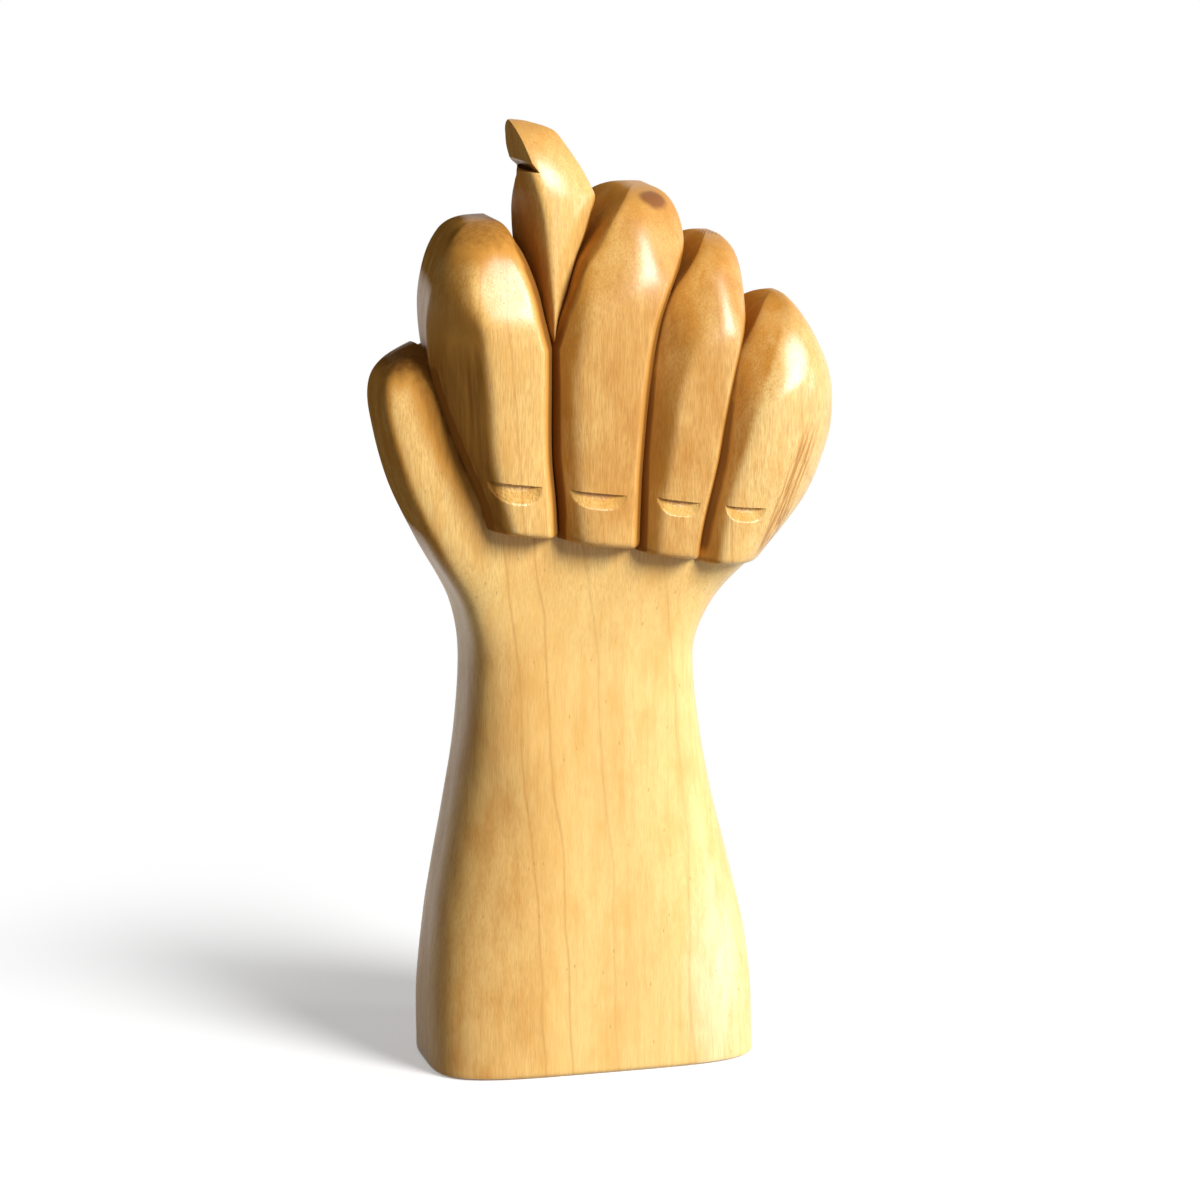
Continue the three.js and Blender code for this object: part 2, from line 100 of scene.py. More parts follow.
# The digits, in mm. Places with two numbers are across and above the base.
# lines, room: the carved lines on its left and right, and those of its room in the palm if they are others
# tip, length: its lower end above the wrist, and its height
# tip_fall, top_fall: how far its right end drops below its middle, at the tip and at the top
# peak: where the top lies across, from -1 on the left to 1 on the right
# shoulder, square, depth_shoulder: the rounded top's height, how square it is, and its height from the side
# front_in, tip_in, back_in: how far it stays in from the fist's front, further at the tip, and from its back
# ridge: places of the foremost edge
# slope, level, soft: steepness left of the ridge, the share of it lost at the top, and the ridge's softness
# below and at the top
# edge, edge_top: depth and width of the turn into the left groove, below and at the top
# right: fall to the right end, below and at the top, how square it is, and the depth and width of that groove
# back_fall, insets: how far the back is rounded at its sides, and how far it is narrower than the front
# seat_in, seat_rise: where the seat starts inside the palm, and how far above the tip it reaches the back
# nail, tear: the ends of the stop cut and the lowest place of the gouge, and how torn its wood is
# pares, blunt: the knife's facets as a place, a depth and the way each faces, and how soft they are
# shade_and_dirt: width of the dark band, painted shade with some dirt, beside the left and the right line,
# and its share on the shaded side
# tone, dull, top_darkening: amber share of the front, side and top, where the side's amber is painted shade,
# gloss lost on the side and top, darkening on top
DIGITS = {
    "index_finger": dict(
        lines=("mound_to_index", "index_right"), tip=29.7, length=62.6, tip_fall=1, top_fall=-0.5, peak=0.45,
        shoulder=20, square=3, front_in=0.2, tip_in=1.5, back_in=0.5,
        ridge=((-19.8, 115), (-22.4, 124), (-24.3, 132), (-25.2, 144), (-26.6, 156), (-28, 164), (-29, 176)),
        slope=1.2, level=0.7, soft=(1, 12), edge=(2, 2), edge_top=(8, 9), right=(1.5, 8, 2, 6, 4),
        back_fall=3.5, insets=(4.5, 0), seat_in=1, seat_rise=41.3,
        nail=((-25.6, 127.8), (-14.7, 126.3), (-19.6, 122.7)), tear=0.06,
        pares=((-24.3, 168.5, 1, (0.06, -0.91, 0.4)),), blunt=0.9,
        shade_and_dirt=(0.8, 3.4, 0.65), tone=(0.1, 0.8, 1), dull=(0.92, 0.5), top_darkening=0.62),
    "middle_finger": dict(
        lines=("middle_side", "middle_to_ring"), tip=27.2, length=71.3, tip_fall=1.2, top_fall=0.4, peak=0.05,
        shoulder=25, square=2.6, front_in=-0.3, tip_in=1.5, back_in=0,
        ridge=((-5.5, 112), (-7.2, 124), (-7.7, 134), (-7.9, 147), (-7, 154), (-5, 163), (-2.4, 171.5),
               (2.2, 181)),
        slope=1.2, level=0.92, soft=(1.6, 3), edge=(1.5, 1), edge_top=(1.5, 1), right=(1.5, 8, 2, 5, 3.4),
        back_fall=3.5, insets=(0, 0), seat_in=1, seat_rise=46.8,
        nail=((-8.9, 125.3), (3, 123.7), (-3, 120.9)), tear=0.03,
        pares=((7.6, 177.3, 0.1, (-0.2, -0.88, 0.43)), (7.6, 177.3, 0.1, (0.5, -0.76, 0.42))), blunt=2,
        shade_and_dirt=(0.9, 2.8, 0.1), tone=(0.68, 0.95, 0.85), dull=(1, 0.2), top_darkening=0.1),
    "ring_finger": dict(
        lines=("middle_to_ring", "ring_to_little"), tip=24, length=64.3, tip_fall=1.2, top_fall=0, peak=0.15,
        shoulder=20, square=2.2, front_in=0.2, tip_in=2, back_in=0.5,
        ridge=((10, 110), (10.9, 122), (12.2, 131), (13.8, 143), (17, 154), (19.8, 163), (22.2, 170),
               (24.3, 175)),
        slope=1, level=0.8, soft=(0.8, 3), edge=(1, 1), edge_top=(2, 2), right=(1.5, 8, 2, 5, 2.6),
        back_fall=3.5, insets=(0, 0), seat_in=1.2, seat_rise=41,
        nail=((9.4, 122.8), (18.6, 121.3), (14, 118.5)), tear=0.03,
        pares=((24, 168, 0.1, (-0.2, -0.88, 0.43)), (24, 168, 0.1, (0.5, -0.76, 0.42))), blunt=1.7,
        shade_and_dirt=(1, 2.2, 0.15), tone=(0.8, 0.95, 0.85), dull=(1, 0.1), top_darkening=0),
    "little_finger": dict(
        lines=("ring_to_little", "little_outer"), tip=21.4, length=53.9, tip_fall=0.6, top_fall=-0.5,
        peak=0.3, shoulder=20, square=2, front_in=2.7, tip_in=1.5, back_in=1.5,
        ridge=((23.6, 107), (25.3, 120), (27.9, 129), (30.6, 138), (34.5, 147), (37.4, 153), (40.5, 160)),
        slope=1, level=0.8, soft=(0.8, 3), edge=(1, 1), edge_top=(2, 2), right=(15, 15, 2.1, 0, 1),
        back_fall=5, insets=(0, 1), seat_in=2.3, seat_rise=30.6, outermost=True,
        nail=((24.3, 120.1), (33.3, 119), (28.6, 116.2)), tear=0.03,
        pares=((41.5, 152.5, 0.4, (0.13, -0.88, 0.43)), (37.5, 153, 0.3, (-0.3, -0.84, 0.43))), blunt=0.9,
        shade_and_dirt=(1.7, 1, 0), tone=(0.2, 0.9, 0.6), dull=(1, 0.3), top_darkening=0),
    "thumb": dict(
        lines=("thumb_outer", "thumb_inner"), room=("index_right", "middle_side"), tip=68.2, length=44,
        tip_fall=0, top_fall=0, peak=-0.35, shoulder=2.6, square=2, depth_shoulder=15,
        front_in=9.5, tip_in=-6, back_in=14.5,
        ridge=((-11, 154), (-11.7, 165), (-12.3, 174), (-13, 180), (-14.2, 185), (-15.2, 189),
               (-17.6, 197.5)),
        slope=4.6, level=0, soft=(0.9, 0.9), edge=(1, 1), edge_top=(1, 1), right=(6, 6, 1.6, 0, 1),
        back_fall=6, insets=(3, 3), seat_in=0, seat_rise=0, pares=(),
        shade_and_dirt=(0.5, 0.5, 0.1), tone=(0.1, 0.8, 0.4), dull=(0.75, 0.2), top_darkening=0),
}
# A finger's nail: its depth in mm, how square it is across and downwards, and how far its cutter reaches
NAIL_DEPTH = 1.2
NAIL_SQUARE = (3, 1.8)
NAIL_PAST = (1.15, 1.12)
# The thumb's nail in mm, seen from the palm: the lip of the hollow, the rounded nail up to the tip, and its
# lean from this place towards the back. The hollow is a bowl with a middle and three radii.
THUMB_NAIL = ((-40, 188.4), (-13.3, 188.4), (-13.6, 188.8), (-14.6, 190.2), (-15.2, 192.4), (-15.7, 194.4),
              (-16.2, 196.2), (-16.5, 197.4), (-16.6, 199.5), (-40, 199.5))
THUMB_NAIL_LEAN, THUMB_NAIL_PLACE = -0.08, -8
THUMB_HOLLOW = ((-13.1, -4.5, 188.3), (1.3, 5.6, 1.9))
# How far two digits' rooms run into each other, in mm, and how many overlaps a digit runs into its seat
ROOM_PAST = 0.2
SEAT_PAST = 4

# Fineness of the meshes, around and up, and the size in mm of slivers that are taken out
DIGIT_FINENESS = (168, 190)
ARM_FINENESS = (240, 330)
NAIL_FINENESS = (90, 60)
SLIVER = 0.012
SHARP_ANGLE = math.radians(38)

# The wood, in mm: the way across its growth lines, their places on it, the span for them and their wander
GRAIN_ACROSS = (1, -0.45, 0.075)
GROWTH_LINES = (-49, -33, -19, -4.7, 1.4, 11.9, 28.3, 44, 60)
GROWTH_SPAN = (-60, 80)
GROWTH_WANDER = 5
# A growth line darkens slowly and ends sharply: places from it in mm, and its share there
GROWTH_EDGE = ((-0.55, 0), (-0.09, 1), (0.1, 0))
# Marks on the wood, in mm: a brown stain, open end grain, and rasp strokes with their slant, the way across
# them and their place on it
STAIN = (11.8, -12, 181.8)
END_STRIPES = (26.6, -3, 174)
RASP_SLANT = math.radians(-19.3)
RASP_ACROSS = (0.944, 0, -0.33)
RASP_MIDDLE = -3.7
# Where a highlight is painted on the foot's right front, in mm, with its depth and height drawn together
FOOT_HIGHLIGHT = (25, -11.5, 5.5)
FOOT_HIGHLIGHT_DRAWN = (1, 0.7, 0.3)

# The stage, in metres: a wide soft key lamp, a narrow side lamp and the camera
FLOOR_RADIUS = 8
FLOOR_FADE = (0.06, 0.19)
KEY_STRENGTH, KEY_SOFTNESS, KEY_WAY = 4.3, math.radians(26), (-0.51, 0.70, -0.5)
SIDE_POWER, SIDE_SIZE, SIDE_PLACE, SIDE_AIM = 2.2, (0.1, 0.4), (0.9, -0.32, 0.2), (0, 0, 0.09)
CAMERA_LENS, CAMERA_PLACE, CAMERA_AIM = 129.6, (-0.2244, -0.8503, 0.2844), (0.0035, 0, 0.0973)
WORLD_LIGHT = 0.16


def length(name, description, default):
    return FloatProperty(name=name, description=description, default=default, unit="LENGTH")


def colour(name, description, default):
    return FloatVectorProperty(name=name, description=description, default=default, subtype="COLOR", size=4)


class FigaSizes(PropertyGroup):
    """Sizes of the carving."""
    wrist_height: length("Wrist height", "Height of the narrowest place", 0.086)
    foot_height: length("Foot height", "Straight part above the base", 0.012)
    foot_width: length("Foot width", "Width of the base", 0.0698)
    foot_depth: length("Foot depth", "Depth of the base", 0.036)
    wrist_width: length("Wrist width", "Width at the wrist", 0.0482)
    wrist_depth: length("Wrist depth", "Depth at the wrist", 0.0294)
    mound_width: length("Mound width", "Width of the mound below the thumb", 0.0151)
    index_width: length("Index width", "Width of the index finger", 0.018)
    middle_width: length("Middle width", "Width of the middle finger", 0.0184)
    ring_width: length("Ring width", "Width of the ring finger", 0.0171)
    little_width: length("Little width", "Width of the little finger", 0.0256)
    fist_front: length("Fist front", "Reach to the fingers' fronts", 0.025)
    palm_front: length("Palm front", "Reach to the palm", 0.0165)
    fist_back: length("Fist back", "Reach to the back of the hand", 0.0225)
    overlap: length("Overlap", "How far neighbouring forms run into each other", 0.00035)
    tool_wave: length("Tool wave", "Height of the soft waves left by the knife", 0.00016)


class WoodColours(PropertyGroup):
    """Colours of the varnished wood and the floor."""
    honey: colour("Honey", "Pale sapwood", (0.87, 0.585, 0.2, 1))
    # Pale: the wood's paler colour towards the little finger's side
    pale: colour("Pale", "Bleached sapwood on the little finger's side", (0.9, 0.72, 0.31, 1))
    amber: colour("Amber", "Deeper streaks", (0.74, 0.385, 0.085, 1))
    line: colour("Growth line", "Late wood", (0.42, 0.17, 0.03, 1))
    # Groove: the colour of the painted shade and dirt in the carved lines, also laid on the pores and fibres
    groove: colour("Groove", "Varnish and dirt in the carved lines", (0.29, 0.12, 0.023, 1))
    # Deep amber: wood that took more varnish, and the colour of the painted shade on the shaded sides and in
    # the carved lines
    deep: colour("Deep amber", "Wood that took more varnish", (0.60, 0.275, 0.05, 1))
    end_grain: colour("End grain", "Wood cut across the fibres", (0.5, 0.24, 0.06, 1))
    stain: colour("Stain", "Brown mark in the end grain", (0.25, 0.09, 0.025, 1))
    # Worn: a pale painted highlight on the foot's right front
    wear_and_highlight: colour("Worn", "Wood rubbed pale at the foot", (0.95, 0.87, 0.56, 1))
    floor: colour("Floor", "Pale floor", (0.76, 0.76, 0.76, 1))


# Measures of the carving in mm

def mm(name):
    return getattr(bpy.context.scene.figa_sizes, name) / MM


def mix(low, high, share):
    return low + (high - low) * share


def ease(low, high, value):
    """A share that rises softly from 0 at one value to 1 at another."""
    share = min(max((value - low) / (high - low), 0), 1)
    return share * share * (3 - 2 * share)


def run_through(points, level_start=False):
    """A smooth run of values over height through (value, height) points."""
    values = [point[0] for point in points]
    heights = [point[1] for point in points]
    last = len(points) - 1
    slopes = []
    for i in range(len(points)):
        low, high = max(i - 1, 0), min(i + 1, last)
        slopes.append((values[high] - values[low]) / (heights[high] - heights[low]))
    if level_start:
        slopes[0] = 0

    def at(height):
        if height <= heights[0]:
            return values[0]
        if height >= heights[last]:
            return values[last]
        i = 1
        while heights[i] < height:
            i += 1
        span = heights[i] - heights[i - 1]
        p = (height - heights[i - 1]) / span
        low, high = slopes[i - 1] * span, slopes[i] * span
        return (values[i - 1] * (1 + 2 * p) * (1 - p) ** 2 + low * p * (1 - p) ** 2
                + values[i] * (3 - 2 * p) * p ** 2 - high * (1 - p) * p ** 2)

    return at


def line_from(start, steps):
    return [(start[0] + step[0], start[1] + step[1]) for step in steps]


def line_of(*runs):
    """A line made of runs that follow one another upwards."""
    parts = [(run[-1][1], run_through(run)) for run in runs]

    def at(height):
        for end, part in parts:
            if height < end:
                return part(height)
        return parts[-1][1](height)

    return at


class Layout:
    """Places across and up the fist that follow from the sizes."""

    def __init__(self):
        self.wrist = mm("wrist_height")
        index_left = MIDDLE_LEFT - mm("index_width")
        ring_left = MIDDLE_LEFT + mm("middle_width")
        little_left = ring_left + mm("ring_width")
        self.mound_left = index_left - mm("mound_width")
        self.little_right = little_left + mm("little_width")
        self.fork = (MIDDLE_LEFT + FORK[0], self.wrist + FORK[1])
        index_to_middle = line_from((MIDDLE_LEFT, self.wrist), INDEX_TO_MIDDLE) + [self.fork]
        self.mound_to_index = line_of(line_from((index_left, self.wrist), MOUND_TO_INDEX))
        self.index_right = line_of(index_to_middle, line_from(self.fork, INDEX_TO_THUMB))
        self.middle_side = line_of(index_to_middle, line_from(self.fork, THUMB_TO_MIDDLE))
        self.middle_to_ring = line_of(line_from((ring_left, self.wrist), MIDDLE_TO_RING))
        self.ring_to_little = line_of(line_from((little_left, self.wrist), RING_TO_LITTLE))
        self.little_outer = line_of(line_from((self.little_right, self.wrist), LITTLE_OUTER))
        self.thumb_outer = line_of(line_from(self.fork, THUMB_OUTER))
        self.thumb_inner = line_of(line_from(self.fork, THUMB_INNER))


class Digit:
    """A digit's form: where its surface lies at a share of the way up and round it."""
    # Shares of the way round for the front, the right wall and the back, and of the way up for the shaft
    FRONT, WALL, BACK = 0.46, 0.12, 0.30
    SHAFT = 0.62
    # Radius of the tip's front edge and softness of the turn from the seat to the back, in mm
    TIP_ROUND = 1.3
    SEAT_SOFT = 5
    # Shares of the width that the ridge keeps from the left and the right
    RIDGE_IN = (0.03, 0.08)
    # How hollow the turn into the right groove is, and the share of it that is lost at the top
    TURN_HOLLOW, TURN_LOST = 1.6, 0.7

    def __init__(self, name, layout):
        self.form = form = DIGITS[name]
        self.left, self.right = (getattr(layout, line) for line in form["lines"])
        self.room = [(getattr(layout, line), line) for line in form.get("room", form["lines"])]
        self.tip = layout.wrist + form["tip"]
        self.top = self.tip + form["length"]
        self.start = self.top - form["shoulder"]
        self.front = form["front_in"] - mm("fist_front")
        self.back = mm("fist_back") - form["back_in"]
        self.deep_middle = (self.front + self.back) / 2
        self.seat = form["seat_in"] - mm("palm_front")
        self.overlap = mm("overlap")
        self.ridge = run_through(form["ridge"])
        self.pares = []
        for x, height, depth, way in form["pares"]:
            way = Vector(way).normalized()
            self.pares.append((self.surface(x, height) - depth * way, way))

    def bounds(self, height, left):
        """Where the section starts and ends across, when a share of it is left."""
        low, high = self.left(height) - self.overlap, self.right(height) + self.overlap
        peak = self.form["peak"]
        return mix(low, high, (1 + mix(peak, -1, left)) / 2), mix(low, high, (1 + mix(peak, 1, left)) / 2)

    def front_at(self, x, low, high, height, rise):
        """How far back the front lies at a place across and up."""
        form = self.form
        front = mix(self.front + form["tip_in"], self.front, math.sin(math.pi / 2 * rise))
        wide = high - low
        ridge = min(max(self.ridge(height), low + self.RIDGE_IN[0] * wide), high - self.RIDGE_IN[1] * wide)
        aside = ridge - x
        shoulder = ease(self.start, self.top, height)
        soft = mix(*form["soft"], shoulder)
        slope = form["slope"] * (1 - form["level"] * shoulder)
        fall = slope * (aside + math.hypot(aside, soft)) / 2
        upper = ease(self.start - 10, self.top - 4, height)
        deep, reach = (mix(*ends, upper) for ends in zip(form["edge"], form["edge_top"]))
        near = min(max(1 - (x - low) / reach, 0), 1)
        fall += deep * (1 - math.sqrt(1 - near * near))
        deep, deep_top, square, turn, reach = form["right"]
        deep = mix(deep, deep_top, ease(self.start - 6, self.top, height))
        share = min(max((x - ridge) / max(high - ridge, 1e-6), 0), 1)
        fall += deep * (1 - (1 - share ** square) ** (1 / square))
        near = min(max(1 - (high - x) / reach, 0), 1)
        fall += turn * near ** self.TURN_HOLLOW * (1 - self.TURN_LOST * shoulder)
        near = max(1 - rise * (self.start - self.tip) / self.TIP_ROUND, 0)
        return front + fall + self.TIP_ROUND * (1 - math.sqrt(1 - near * near))

    def deep_left(self, height, left):
        """Share of the depth that is left near the top."""
        if "depth_shoulder" not in self.form:
            return left
        shoulder = self.form["depth_shoulder"]
        over = max(height - self.top, -shoulder) / shoulder + 1
        return math.sqrt(max(1 - over * over, 0))

    def surface(self, x, height):
        """The point of the front at a place across and up."""
        over = min(max((height - self.start) / self.form["shoulder"], 0), 1)
        left = (1 - over ** self.form["square"]) ** (1 / self.form["square"])
        rise = min(max((height - self.tip) / (self.start - self.tip), 0), 1)
        y = self.front_at(x, *self.bounds(height, left), height, rise)
        return Vector((x, mix(self.deep_middle, y, self.deep_left(height, left)), height))

    def back_at(self, height):
        """The back, which below the knuckle follows the sloping seat inside the palm."""
        if not self.form["seat_rise"]:
            return self.back
        slope = (self.back - self.seat) / self.form["seat_rise"]
        seat = self.seat + SEAT_PAST * self.overlap + slope * (height - self.tip)
        gap = max(self.SEAT_SOFT - abs(self.back - seat), 0) / self.SEAT_SOFT
        return min(self.back, seat) - gap * gap * self.SEAT_SOFT / 4

    def ring(self, share):
        """Height, share up the shaft and share of the section that is left."""
        if share < self.SHAFT:
            rise = share / self.SHAFT
            return mix(self.tip, self.start, rise), rise, 1
        angle = math.pi / 2 * (share - self.SHAFT) / (1 - self.SHAFT)
        power = 2 / self.form["square"]
        height = self.start + self.form["shoulder"] * math.sin(angle) ** power
        return height, 1, max(math.cos(angle), 0) ** power

    def turned(self, turn):
        """Place across from -1 to 1, and share of the way from the front to the back."""
        wall_end = self.FRONT + self.WALL
        back_end = wall_end + self.BACK
        if turn < self.FRONT:
            return -math.cos(math.pi * turn / self.FRONT), 0.0
        if turn < wall_end:
            return 1, (turn - self.FRONT) / self.WALL
        if turn < back_end:
            return math.cos(math.pi * (turn - wall_end) / self.BACK), 1
        return -1, (1 - turn) / (1 - back_end)

    def point(self, share, turn):
        """The point of the surface at a share of the way up and round."""
        form = self.form
        height, rise, left = self.ring(share)
        across, wall = self.turned(turn)
        height -= across * (form["tip_fall"] * (1 - rise) + form["top_fall"] * rise * left)
        low, high = self.bounds(height, left)
        x = mix(low, high, (1 + across) / 2)
        front = self.front_at(x, low, high, height, rise)
        fallen = 1 - math.sqrt(max(1 - across * across, 0))
        back = self.back_at(height) - fallen * form["back_fall"] * ease(0, 1, rise)
        back = max(back, front + 0.5)
        inset = wall * left * ease(0, 1 if form["seat_rise"] else 0.4, rise)
        x += inset * (form["insets"][0] * max(-across, 0) - form["insets"][1] * max(across, 0))
        y = mix(self.deep_middle, mix(front, back, wall), self.deep_left(height, left))
        spot = Vector((x, y, height))
        for place, way in self.pares:
            out = (spot - place).dot(way)
            spot -= way * (out + math.hypot(out, form["blunt"])) / 2
        return spot


# Working the mesh

def tube(around, rings):
    """An open tube whose height and turn then place each vertex of a form."""
    form = bmesh.new()
    bmesh.ops.create_cone(form, cap_ends=False, segments=around, radius1=1, radius2=1, depth=1)
    upright = [edge for edge in form.edges if abs(edge.verts[0].co.z - edge.verts[1].co.z) > 0.5]
    bmesh.ops.subdivide_edges(form, edges=upright, cuts=rings - 1)
    return form


def place(form, where):
    """Moves each vertex of a tube to where(share of height, share of turn from the left)."""
    for vertex in form.verts:
        turn = (math.atan2(vertex.co.y, vertex.co.x) + math.pi) / (2 * math.pi)
        vertex.co = where(vertex.co.z + 0.5, turn % 0.9999999)


def close(form):
    """Closes the ends, merges the poles and turns the faces outwards."""
    bmesh.ops.remove_doubles(form, verts=form.verts, dist=1e-4)
    bmesh.ops.holes_fill(form, edges=form.edges, sides=0)
    bmesh.ops.recalc_face_normals(form, faces=form.faces)


def thicken(form, way):
    """Makes a sheet a closed solid."""
    grown = bmesh.ops.extrude_face_region(form, geom=form.faces[:])
    moved = [item for item in grown["geom"] if isinstance(item, bmesh.types.BMVert)]
    bmesh.ops.translate(form, vec=way, verts=moved)
    bmesh.ops.recalc_face_normals(form, faces=form.faces)


def waver(form, height, seed):
    """Soft uneven waves, as a knife and sandpaper leave them."""
    form.normal_update()
    moves = []
    for vertex in form.verts:
        wide = noise.noise(Vector((vertex.co.x / 11, vertex.co.y / 11, vertex.co.z / 17 + seed)))
        fine = noise.noise(Vector((vertex.co.x / 3.5, vertex.co.y / 3.5, vertex.co.z / 8 - seed)))
        moves.append(vertex.normal * height * (wide + 0.3 * fine))
    for vertex, move in zip(form.verts, moves):
        vertex.co += move * ease(0, 6, vertex.co.z)


def finish_mesh(name, form):
    """Makes an object in metres from a form in mm."""
    bmesh.ops.scale(form, vec=(MM, MM, MM), verts=form.verts)
    mesh = bpy.data.meshes.new(name)
    form.to_mesh(mesh)
    form.free()
    piece = bpy.data.objects.new(name, mesh)
    bpy.context.scene.collection.objects.link(piece)
    return piece


def clean(mesh):
    """Takes out slivers, and leaves two faces at every edge."""
    form = bmesh.new()
    form.from_mesh(mesh)
    bmesh.ops.remove_doubles(form, verts=form.verts, dist=SLIVER * MM)
    bmesh.ops.dissolve_degenerate(form, edges=form.edges, dist=SLIVER * MM)
    bmesh.ops.triangulate(form, faces=form.faces)
    for _ in range(3):
        pinched = [edge for edge in form.edges if len(edge.link_faces) != 2]
        bmesh.ops.collapse(form, edges=pinched)
    form.to_mesh(mesh)
    form.free()


def cut(piece, *cutters):
    """Takes the cutters out of a piece and deletes them."""
    for cutter in cutters:
        modifier = piece.modifiers.new("cut", "BOOLEAN")
        modifier.operation = "DIFFERENCE"
        modifier.solver = "MANIFOLD"
        modifier.object = cutter
    bpy.context.view_layer.update()
    graph = bpy.context.evaluated_depsgraph_get()
    mesh = bpy.data.meshes.new_from_object(piece.evaluated_get(graph))
    if len(mesh.vertices) < 100:
        raise RuntimeError(f"the cut of {piece.name} left nothing")
    clean(mesh)
    piece.modifiers.clear()
    old, piece.data = piece.data, mesh
    mesh.name = piece.name
    bpy.data.meshes.remove(old)
    for cutter in cutters:
        shape = cutter.data
        bpy.data.objects.remove(cutter)
        bpy.data.meshes.remove(shape)


def dress(piece, node):
    """Shading, material and place in the frame."""
    mesh = piece.data
    mesh.shade_smooth()
    mesh.set_sharp_from_angle(angle=SHARP_ANGLE)
    mesh.materials.clear()
    mesh.materials.append(varnished_wood())
    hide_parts(node)
    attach(piece, "root")


def nail_cutter(digit):
    """A gouge, deepest at a stop cut across the digit, which runs out below in a rounded end."""
    left, right, low = (Vector(spot) for spot in digit.form["nail"])
    down = low - (left + right) / 2
    form = bmesh.new()
    bmesh.ops.create_grid(form, x_segments=NAIL_FINENESS[0], y_segments=NAIL_FINENESS[1], size=1)
    for vertex in form.verts:
        aside, below = NAIL_PAST[0] * vertex.co.x, NAIL_PAST[1] * (1 - vertex.co.y) / 2
        spot = digit.surface(*((left + right + (right - left) * aside) / 2 + down * below))
        spot.y += NAIL_DEPTH * (1 - abs(aside) ** NAIL_SQUARE[0] - below ** NAIL_SQUARE[1])
        torn = noise.noise_vector(spot / 0.55) + noise.noise_vector(spot / 0.2)
        vertex.co = spot + torn * digit.form["tear"]
    thicken(form, (0, -6, 0))
    return finish_mesh("nail_cut", form)


def thumb_nail_cutter():
    """The wood left of the thumb's nail, above the lip of the hollow."""
    reach = 40
    lean = THUMB_NAIL_LEAN * (reach + THUMB_NAIL_PLACE)
    form = bmesh.new()
    form.faces.new([form.verts.new((x - lean, -reach, z)) for x, z in THUMB_NAIL])
    thicken(form, (2 * reach * THUMB_NAIL_LEAN, 2 * reach, 0))
    return finish_mesh("thumb_nail_cut", form)


def hollow_cutter():
    """The bowl that the thumb's nail stands in."""
    middle, size = THUMB_HOLLOW
    form = bmesh.new()
    bmesh.ops.create_uvsphere(form, u_segments=48, v_segments=32, radius=1)
    bmesh.ops.scale(form, vec=size, verts=form.verts)
    bmesh.ops.translate(form, vec=middle, verts=form.verts)
    return finish_mesh("hollow_cut", form)


def space_cutter(digit):
    """The room of a digit in the palm, with no wall between two digits and a close fit at the mound."""
    outside, step = 150, 1.5
    sides = []
    for (line, name), across in zip(digit.room, (1, -1)):
        inside = digit.overlap if name == "mound_to_index" else -ROOM_PAST
        height = digit.tip + across * digit.form["tip_fall"]
        side = []
        while height < digit.top + 20:
            side.append((line(height) + across * inside, height))
            height += step
        sides.append(side)
    left, right = sides
    if digit.form.get("outermost"):
        right = [right[0], (outside, right[0][1]), (outside, right[-1][1])]
    form = bmesh.new()
    form.faces.new([form.verts.new((x, -outside, z)) for x, z in right + left[::-1]])
    thicken(form, (0, 2 * outside, 0))
    normal = Vector((0, digit.form["seat_rise"], digit.seat - digit.back)).normalized()
    geom = form.verts[:] + form.edges[:] + form.faces[:]
    seat = (0, digit.seat, digit.tip)
    bmesh.ops.bisect_plane(form, geom=geom, plane_co=seat, plane_no=normal, clear_outer=True)
    bmesh.ops.holes_fill(form, edges=form.edges, sides=0)
    bmesh.ops.recalc_face_normals(form, faces=form.faces)
    return finish_mesh("space_cut", form)


# The wood

class Nodes:
    """A node tree with short calls for the nodes in it."""

    def __init__(self, tree):
        self.tree = tree
        tree.nodes.clear()

    def add(self, kind, inputs=None, **settings):
        """A node with its settings, and its inputs linked or set."""
        node = self.tree.nodes.new("ShaderNode" + kind)
        for key, value in settings.items():
            setattr(node, key, value)
        for key, value in (inputs or {}).items():
            if isinstance(value, bpy.types.NodeSocket):
                self.tree.links.new(value, node.inputs[key])
            else:
                node.inputs[key].default_value = value
        return node

    def math(self, operation, a, b=0.0, clamp=False):
        return self.add("Math", {0: a, 1: b}, operation=operation, use_clamp=clamp).outputs[0]

    def times(self, a, b):
        return self.math("MULTIPLY", a, b)

    def vector(self, operation, a, b=(0, 0, 0), output="Value"):
        return self.add("VectorMath", {0: a, 1: b}, operation=operation).outputs[output]

    def tint(self, share, low, high):
        return self.add("Mix", {0: share, 6: low, 7: high}, data_type="RGBA").outputs[2]

    def remap(self, value, low, high, start=0, end=1):
        return self.add("MapRange", {0: value, 1: low, 2: high, 3: start, 4: end}).outputs[0]

    def mapped(self, where, scale=(1, 1, 1), rotation=(0, 0, 0)):
        inputs = {"Vector": where, "Scale": scale, "Rotation": rotation}
        return self.add("Mapping", inputs).outputs[0]

    def attribute(self, name):
        return self.add("Attribute", attribute_name=name).outputs["Fac"]

    def seen(self):
        """1 for what the camera sees, also in a gloss or through glass."""
        path = self.add("LightPath").outputs
        seen = self.math("MAXIMUM", path["Is Camera Ray"], path["Is Glossy Ray"])
        return self.math("MAXIMUM", seen, path["Is Transmission Ray"])


